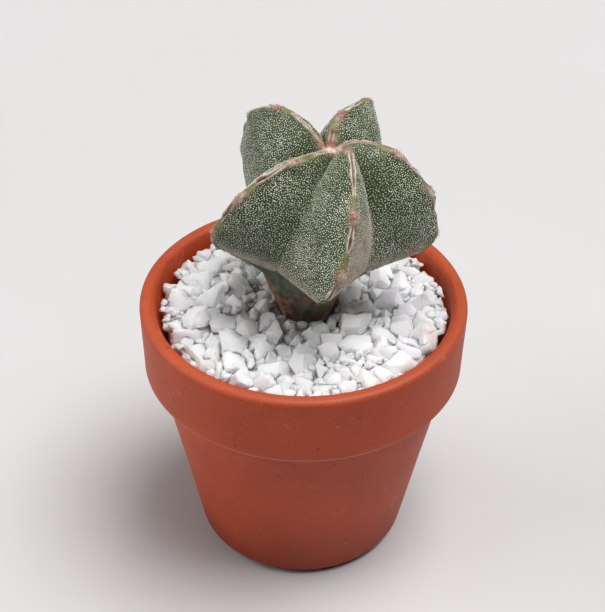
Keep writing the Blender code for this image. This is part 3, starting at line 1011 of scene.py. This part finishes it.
# %% Spread the flecks
FLECK_SPACING = (0.29, 0.4)
FLECK_CANDIDATES = 260000
FLECK_RADIUS = (0.12, 0.18)
FLECK_STRETCH = (1.0, 1.8)
FLECK_SIDES = 5
FLECK_HEIGHT = 0.07
FLECK_SINK = 0.03
CREST_CLEAR = 0.35
FIRST_FLECKS = 0.5
LAST_FLECKS = 8.4
# How pale the flecks are on each rib's two sides: low values make greyer flecks, a darker flank.
FLECK_TONES = ((0.7, 0.7), (0.7, 0.42), (0.8, 0.75), (0.42, 0.55), (0.75, 0.7))
random_flecks = np.random.default_rng(8)


def fleck_room():
    """How welcome flecks are at each point of the skin, from 0 to 1."""
    clear = 1 - np.clip(on_lip + 1.3 * on_areole + in_groove, 0, 1)
    clear *= ease((from_crest - CREST_CLEAR) / 0.5)
    clear *= 1 - ease((station_grid - LAST_FLECKS) / 0.7)
    return clear * ease((station_grid - FIRST_FLECKS) / 0.8)


def pick_on_grid(draw, values, weight, count):
    """Random spots over the skin's grid by area and weight, with every value interpolated."""
    p = skin_points
    after = np.roll(p, -1, axis=1)
    area = np.linalg.norm(np.cross(p[1:] - p[:-1], after[:-1] - p[:-1]), axis=2)
    chance = (area * weight[:-1]).ravel()
    cell = draw.choice(len(chance), size=count, p=chance / chance.sum())
    row, column = np.divmod(cell, p.shape[1])
    u, v = draw.random((2, count))
    u, v = u[:, None], v[:, None]
    following = (column + 1) % p.shape[1]
    return [(a[row, column] * (1 - u) + a[row + 1, column] * u) * (1 - v)
            + (a[row, following] * (1 - u) + a[row + 1, following] * u) * v for a in values]


def keep_apart(points, spacing):
    """Indices of the points that are kept, none nearer to another than its spacing."""
    cell = float(spacing.max())
    kept, cells = [], {}
    keys = np.floor(points / cell).astype(int).tolist()
    places = points.tolist()
    gaps = spacing.tolist()
    steps = [(i, j, k) for i in (-1, 0, 1) for j in (-1, 0, 1) for k in (-1, 0, 1)]
    for n, (key, (x, y, z), gap) in enumerate(zip(keys, places, gaps)):
        near = (other for i, j, k in steps
                for other in cells.get((key[0] + i, key[1] + j, key[2] + k), ()))
        if all((x - a) ** 2 + (y - b) ** 2 + (z - c) ** 2 > gap * gap for a, b, c in near):
            kept.append(n)
            cells.setdefault(tuple(key), []).append((x, y, z))
    return np.array(kept)


def mounds(draw, centre, normal, size):
    """Low mounds on the skin: a ring of points round a raised middle, closed below."""
    count = len(centre)
    sideways = unit(np.cross(normal, draw.normal(size=(count, 3))))
    forward = np.cross(normal, sideways)
    angle = np.linspace(0, math.tau, FLECK_SIDES, endpoint=False) + draw.random((count, 1))
    radius = size[:, None] * draw.uniform(0.75, 1.25, (count, FLECK_SIDES))
    stretch = draw.uniform(*FLECK_STRETCH, (count, 1))
    ring = (sideways[:, None] * (radius * stretch * np.cos(angle))[..., None]
            + forward[:, None] * (radius * np.sin(angle))[..., None]
            + centre[:, None] - normal[:, None] * FLECK_SINK)
    middle = centre + normal * (FLECK_HEIGHT * draw.uniform(0.6, 1.2, (count, 1)))
    points = np.concatenate([ring, middle[:, None]], axis=1).reshape(-1, 3)
    step = FLECK_SIDES + 1
    faces = []
    for first in range(0, count * step, step):
        faces += [(first + i, first + (i + 1) % FLECK_SIDES, first + FLECK_SIDES)
                  for i in range(FLECK_SIDES)]
        faces.append([first + i for i in reversed(range(FLECK_SIDES))])
    return points, faces


# %% [markdown]
# ## Matted plant hair
# Dry plant hair is white cellulose full of air, so it is bright and fully matt. Some flecks are
# greyer, more so on some flanks, and some have taken on the tan of the felt.

# %% The flecks' finish
FLECK_PALE = "f3f3e2"
FLECK_GREY = "b9bda8"
FLECK_TAN = "d0c7b7"
WAVE_RANGE = (-0.6, 0.6)


def matted_plant_hair():
    material, tree, shader, _ = start_material("matted_plant_hair", roughness=0.95, ior=1.5)
    tone, tan = (add(tree, "Attribute", attribute_name=name).outputs["Fac"]
                 for name in ("tone", "tan"))
    colour = overlay(tree, linear(FLECK_GREY), [(tone, FLECK_PALE), (tan, FLECK_TAN)])
    tree.links.new(colour, shader.inputs["Base Color"])
    return material


def make_flecks():
    draw = random_flecks
    room = fleck_room()
    side_tone = by_side(FLECK_TONES)
    values = np.stack([room, masks["felt"], broad, side_tone], -1)
    centre, normal, values = pick_on_grid(draw, (skin_points, normals, values), room,
                                          FLECK_CANDIDATES)
    waves = values[:, 2] + draw.normal(size=len(values)) * 0.15
    kept = keep_apart(centre, np.interp(waves, WAVE_RANGE, FLECK_SPACING))
    free, felt, wave, side_tone = values[kept].T
    size = draw.uniform(*FLECK_RADIUS, len(kept)) * (0.55 + 0.45 * free)
    points, faces = mounds(draw, centre[kept], unit(normal[kept]), size)
    flecks = add_piece("felt_flecks", to_world(points), faces, matted_plant_hair())
    tone = np.clip(side_tone - 0.5 * wave + draw.normal(size=len(kept)) * 0.2, 0, 1)
    keep_values(flecks, "tone", np.repeat(tone, FLECK_SIDES + 1))
    keep_values(flecks, "tan", np.repeat(np.clip(felt * 1.1, 0, 1), FLECK_SIDES + 1))
    print("flecks:", len(kept))


make_flecks()

# %% [markdown]
# ## Wool on areoles and crown
# Areoles and the growing tip are capped with short curly wool. Each hair is a thin three-sided tube
# that tapers and bends. Hairs lean every way, so they make a tuft and not a brush. Young wool is
# pink-white, with rusty hairs among it.

# %% Grow the hairs
HAIRS_PER_AREOLE = 110
CROWN_HAIRS = 360
HAIR_LENGTH = (0.25, 0.5)
HAIR_RADIUS = 0.035
HAIR_RINGS = 4
HAIR_SINK = 0.05
HAIR_SPREAD = 0.7
HAIR_BEND = 0.5
HAIR_TAPER = 0.7
TUFT_REACH = 0.95
CROWN_STATION = 0.75
random_hairs = np.random.default_rng(21)


def hair_roots(draw):
    """Places and directions of the hairs: on each areole, and over the crown."""
    places, directions = [], []
    spots = [((rib_of_column == rib) & (np.abs(along_crest - mark) < TUFT_REACH)
               & (from_crest < AREOLE_WIDTH),
              HAIRS_PER_AREOLE) for rib, row in enumerate(AREOLES) for mark in row]
    spots.append((station_grid < CROWN_STATION, CROWN_HAIRS))
    for spot, count in spots:
        rows, columns = np.nonzero(spot)
        pick = draw.integers(len(rows), size=count)
        places.append(skin_points[rows[pick], columns[pick]])
        directions.append(normals[rows[pick], columns[pick]])
    places, directions = np.vstack(places), np.vstack(directions)
    spread = draw.normal(size=directions.shape) * HAIR_SPREAD
    return places - directions * HAIR_SINK, unit(directions + spread)


def hair_tubes(draw, root, direction):
    """Bent, tapering three-sided tubes, closed at both ends."""
    count = len(root)
    length = draw.uniform(*HAIR_LENGTH, (count, 1))
    sideways = unit(np.cross(direction, draw.normal(size=(count, 3))))
    other = np.cross(direction, sideways)
    points = []
    for ring in range(HAIR_RINGS):
        share = ring / (HAIR_RINGS - 1)
        centre = root + direction * length * share + sideways * length * HAIR_BEND * share ** 2
        radius = HAIR_RADIUS * (1 - HAIR_TAPER * share)
        points.append(np.stack([centre + radius * (sideways * math.cos(a) + other * math.sin(a))
                                for a in (0, math.tau / 3, 2 * math.tau / 3)], axis=1))
    points = np.stack(points, axis=1).reshape(-1, 3)
    step = 3 * HAIR_RINGS
    faces = []
    for first in range(0, count * step, step):
        for ring in range(first, first + step - 3, 3):
            faces += [(ring + i, ring + (i + 1) % 3, ring + 3 + (i + 1) % 3, ring + 3 + i)
                      for i in range(3)]
        last = first + step - 1
        faces += [(first + 2, first + 1, first), (last - 2, last - 1, last)]
    return points, faces


# %% The wool's finish
WOOL_PALE = "e2d5c9"
WOOL_RUST = "b06a58"
WOOL_CLOUD_SIZE = 0.9


def areole_wool():
    material, tree, shader, _ = start_material("areole_wool", roughness=0.9, ior=1.5)
    tone = add(tree, "Attribute", attribute_name="tone").outputs["Fac"]
    colour = overlay(tree, linear(WOOL_PALE), [(tone, WOOL_RUST)])
    tree.links.new(colour, shader.inputs["Base Color"])
    return material


def make_wool():
    draw = random_hairs
    root, direction = hair_roots(draw)
    points, faces = hair_tubes(draw, root, direction)
    wool = add_piece("areole_wool", to_world(points), faces, areole_wool())
    lumpy = waviness(root, WOOL_CLOUD_SIZE, 2)
    tone = np.clip(0.35 + 1.2 * lumpy + draw.normal(size=len(root)) * 0.2, 0, 1)
    keep_values(wool, "tone", np.repeat(tone, 3 * HAIR_RINGS))


make_wool()

# %% [markdown]
# ## Floor and light
# The pot stands on a plain pale surface. The main softbox hangs above and to the right, a smaller
# one nearer by firms up the shadow, one overhead evens the light out, and a wide one at the left
# fills. All are metres away, so the floor is lit evenly, and it throws light back up on the pot.
# The surroundings look pale to the camera, but give hardly any light of their own.

# %% Floor, lamps and surroundings
FLOOR_COLOUR = "cccbca"
FLOOR_PATCH = "d1d0d0"
FLOOR_PATCH_SIZE = 80.0
FLOOR_REACH = 1.8
ROOM_COLOUR = "e2e2e3"
ROOM_LIGHT = 0.03
LIGHT_AIM = Vector((0.0, 0.0, 0.04))
SOFTBOXES = (("top_softbox", (1.5, 0.0, 4.25), 3.0, 140.0),
             ("overhead_softbox", (0.0, 0.0, 4.5), 3.0, 32.0),
             ("small_softbox", (0.8, -0.25, 3.0), 2.0, 42.0),
             ("left_softbox", (-4.0, 0.0, 2.0), 4.0, 106.0))


def studio_floor():
    material, tree, shader, place = start_material("studio_floor", roughness=0.9, ior=1.45)
    clouds = add(tree, "TexNoise", sized(place, FLOOR_PATCH_SIZE))
    tint = overlay(tree, linear(FLOOR_COLOUR), [(clouds.outputs["Fac"], FLOOR_PATCH)])
    tree.links.new(tint, shader.inputs["Base Color"])
    return material


def make_floor():
    mesh = bpy.data.meshes.new("floor")
    corners = [(x * FLOOR_REACH, y * FLOOR_REACH, 0)
               for x, y in ((-1, -1), (1, -1), (1, 1), (-1, 1))]
    mesh.from_pydata(corners, [], [(0, 1, 2, 3)])
    mesh.materials.append(studio_floor())
    new_object("floor", mesh)


def add_softbox(name, place, size, power):
    """A square area light that looks at the pot."""
    data = bpy.data.lights.new(name, "AREA")
    data.size = size
    data.energy = power
    lamp = new_object(name, data)
    lamp.location = place
    lamp.visible_camera = False
    lamp.rotation_mode = "QUATERNION"
    lamp.rotation_quaternion = (LIGHT_AIM - Vector(place)).to_track_quat("-Z", "Y")


def light_the_set():
    """Surroundings that look pale but light little, and four soft lamps."""
    world = bpy.data.worlds.new("studio")
    world.use_nodes = True
    tree = world.node_tree
    dim = tree.nodes["Background"]
    dim.inputs["Color"].default_value = linear(ROOM_COLOUR)
    dim.inputs["Strength"].default_value = ROOM_LIGHT
    pale = add(tree, "Background", {"Color": linear(ROOM_COLOUR)})
    seen = add(tree, "MixShader", {0: add(tree, "LightPath").outputs["Is Camera Ray"],
                                   1: dim.outputs[0], 2: pale.outputs[0]})
    tree.links.new(seen.outputs[0], tree.nodes["World Output"].inputs["Surface"])
    bpy.context.scene.world = world
    for name, place, size, power in SOFTBOXES:
        add_softbox(name, place, size, power)
    bpy.context.scene.view_settings.view_transform = "Standard"


make_floor()
light_the_set()
